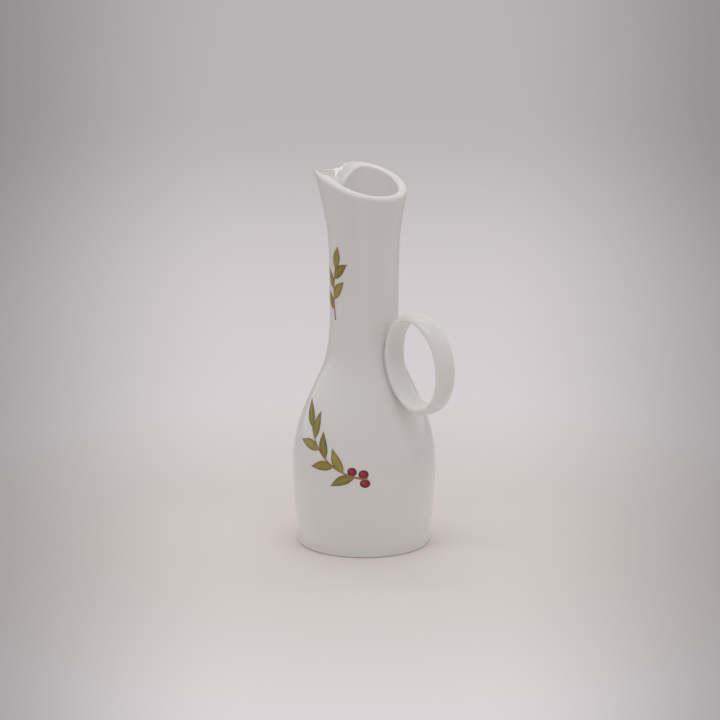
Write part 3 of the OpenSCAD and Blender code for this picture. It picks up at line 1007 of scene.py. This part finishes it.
def leaf_enamel(name, body, light, edge, tip):
    """Fired leaf enamel: two greens in blotches, pale veins, a dark edge and a browned tip."""
    material = blank_material(name)
    tree = material.node_tree
    place = add(tree, "TexCoord").outputs["Object"]
    along = add(tree, "Attribute", attribute_name="along").outputs["Fac"]
    across = add(tree, "Attribute", attribute_name="across").outputs["Fac"]
    shade = add(tree, "Attribute", attribute_name="shade").outputs["Fac"]
    blotch = add(tree, "TexNoise", {"Vector": place, "Scale": per_metre(blotch_mm),
                                    "Detail": 4.0}).outputs[0]
    mixed = add(tree, "Math", {0: blotch, 1: shade}, operation="MULTIPLY").outputs[0]
    patch = add(tree, "MapRange", {"Value": mixed, "From Min": blotch_range[0],
                                   "From Max": blotch_range[1]}).outputs["Result"]
    off = add(tree, "Math", {0: across}, operation="ABSOLUTE").outputs[0]
    rim = add(tree, "MapRange", {"Value": off, "From Min": edge_start, "From Max": 1.0,
                                 "To Max": edge_depth}).outputs["Result"]
    brown = add(tree, "MapRange", {"Value": along, "From Min": tip_start, "From Max": 1.0,
                                   "To Max": tip_depth}).outputs["Result"]
    swept = add(tree, "Math", {0: off, 1: -vein_sweep, 2: along}, operation="MULTIPLY_ADD").outputs[0]
    beat = add(tree, "Math", {0: swept, 1: vein_count}, operation="MULTIPLY").outputs[0]
    saw = add(tree, "Math", {0: beat, 1: 1.0}, operation="PINGPONG").outputs[0]
    side_vein = add(tree, "MapRange", {"Value": saw, "From Max": vein_width,
                                       "To Min": vein_depth, "To Max": 0.0}).outputs["Result"]
    midrib = add(tree, "MapRange", {"Value": off, "From Min": midrib_width[0], "From Max": midrib_width[1],
                                    "To Min": midrib_depth, "To Max": 0.0}).outputs["Result"]
    vein = add(tree, "Math", {0: side_vein, 1: midrib}, operation="MAXIMUM").outputs[0]
    tone = linear(body)
    for amount, code in ((patch, light), (rim, edge), (brown, tip), (vein, light)):
        tone = add(tree, "Mix", {0: amount, 6: tone, 7: linear(code)}, data_type="RGBA").outputs[2]
    screen = add(tree, "TexNoise", {"Vector": place, "Scale": per_metre(screen_mm)}).outputs[0]
    bump = add(tree, "Bump", {"Height": screen, "Distance": screen_depth_mm * millimetre}).outputs[0]
    shader = add(tree, "BsdfPrincipled", {"Base Color": tone, "Roughness": enamel_rough, "IOR": enamel_ior,
                                          "Normal": bump})
    add(tree, "OutputMaterial", {"Surface": shader.outputs[0]})
    return material


olive = leaf_enamel("fired_olive_enamel", "#7f7830", "#a89c50", "#5a5020", "#96683a")
ochre = leaf_enamel("fired_ochre_enamel", "#8f7c34", "#ab9a4c", "#6a5824", "#a2622e")
print("materials:", olive.name, ochre.name)

# %% Stem enamel
streaks = (14.0, 2.2, 1.0)
stem_edge_start = 0.4
stem_edge_depth = 0.7


def stem_enamel(pale, dark):
    """Fired stem enamel: a warm brown with long darker streaks and dark edges."""
    material = blank_material("fired_stem_enamel")
    tree = material.node_tree
    along = add(tree, "Attribute", attribute_name="along").outputs["Fac"]
    across = add(tree, "Attribute", attribute_name="across").outputs["Fac"]
    strand = add(tree, "CombineXYZ", {0: along, 1: across}).outputs[0]
    drawn = add(tree, "Mapping", {"Vector": strand, "Scale": streaks}).outputs[0]
    streak = add(tree, "TexNoise", {"Vector": drawn, "Scale": 1.0, "Detail": 3.0}).outputs[0]
    off = add(tree, "Math", {0: across}, operation="ABSOLUTE").outputs[0]
    rim = add(tree, "MapRange", {"Value": off, "From Min": stem_edge_start, "From Max": 1.0,
                                 "To Max": stem_edge_depth}).outputs["Result"]
    depth = add(tree, "Math", {0: streak, 1: rim}, operation="MAXIMUM").outputs[0]
    tone = add(tree, "Mix", {0: depth, 6: linear(pale), 7: linear(dark)}, data_type="RGBA").outputs[2]
    shader = add(tree, "BsdfPrincipled", {"Base Color": tone, "Roughness": enamel_rough, "IOR": enamel_ior})
    add(tree, "OutputMaterial", {"Surface": shader.outputs[0]})
    return material


brown = stem_enamel("#c08a58", "#8a5530")
print("material:", brown.name)

# %% Berry enamel
berry_edge_start = 0.35


def berry_enamel(body, deep, bright):
    """Fired berry enamel: crimson, deep towards the edge, with a paler bloom off its middle."""
    material = blank_material("fired_berry_enamel")
    tree = material.node_tree
    place = add(tree, "TexCoord").outputs["Object"]
    out = add(tree, "Attribute", attribute_name="along").outputs["Fac"]
    bloom = add(tree, "Attribute", attribute_name="across").outputs["Fac"]
    mottle = add(tree, "TexNoise", {"Vector": place, "Scale": per_metre(screen_mm),
                                    "Detail": 2.0}).outputs[0]
    rim = add(tree, "MapRange", {"Value": out, "From Min": berry_edge_start, "From Max": 1.0},
              interpolation_type="SMOOTHSTEP").outputs["Result"]
    glow = add(tree, "Math", {0: bloom, 1: mottle}, operation="MULTIPLY").outputs[0]
    tone = linear(body)
    for amount, code in ((rim, deep), (glow, bright)):
        tone = add(tree, "Mix", {0: amount, 6: tone, 7: linear(code)}, data_type="RGBA").outputs[2]
    shader = add(tree, "BsdfPrincipled", {"Base Color": tone, "Roughness": enamel_rough, "IOR": enamel_ior})
    add(tree, "OutputMaterial", {"Surface": shader.outputs[0]})
    return material


crimson = berry_enamel("#9b1c3c", "#5c1020", "#c9586a")
print("material:", crimson.name)

# %% [markdown]
# ## Leaves and stems on the bottle
#
# With the strips and enamels ready, each print is one line. The bowl carries a long sprig that
# climbs to the left, and the neck a short upright one that is half out of sight from the camera.

# %% Leaves and stems
make_print("bowl_stem", [stem(bowl_sprig)], brown)
make_print("bowl_leaves", leaves(bowl_sprig, **bowl_leaf_sizes), olive)
make_print("neck_stem", [stem(neck_sprig)], brown)
make_print("neck_leaves", leaves(neck_sprig, **neck_leaf_sizes), ochre)

# %% [markdown]
# ## Berries
#
# Three berries sit at the foot of the bowl's sprig. Each is a round patch of enamel, made as
# circles that widen from its middle to its edge on top and narrow again in its root. A mark off its
# middle gives it a painted bloom.

# %% Berries
berry_r = 2.3
berry_places = [(0.02, 1), (0.05, -1), (0.19, -1)]
berry_h = 0.09
berry_core = 0.06
berry_rings = 12
berry_sides = 48
bloom_at = np.array([-0.35, 0.35])
bloom_size = 0.12


def berry(sprig, s, side):
    """Round patch beside the stem: circles of radius share * berry_r, domed by one less the share's
    fourth power."""
    growth = sprig.heading(s)
    middle = sprig.stem(np.array(s)) + side * berry_r * np.array([-math.sin(growth), math.cos(growth)])
    share = np.linspace(berry_core, 1, berry_rings)
    out = np.concatenate([share, share[::-1]])
    lift = np.concatenate([berry_h * (1 - share ** 4), np.full(len(share), -enamel_root)])
    turn = np.linspace(0, 2 * math.pi, berry_sides, endpoint=False)
    unit = out[:, None, None] * np.stack([np.cos(turn), np.sin(turn)], axis=-1)
    rings = sprig.lay(middle + berry_r * unit, np.broadcast_to(lift[:, None], unit.shape[:2]))
    bloom = np.exp(-((unit - bloom_at) ** 2).sum(axis=-1) / bloom_size)
    reach = np.append(np.repeat(out[::-1], len(turn)), [0, 0])
    return skin(rings[::-1]), reach, np.append(bloom[::-1].ravel(), [0, 0])


berries = [berry(bowl_sprig, s, side) for s, side in berry_places]
make_print("bowl_berries", berries, crimson)
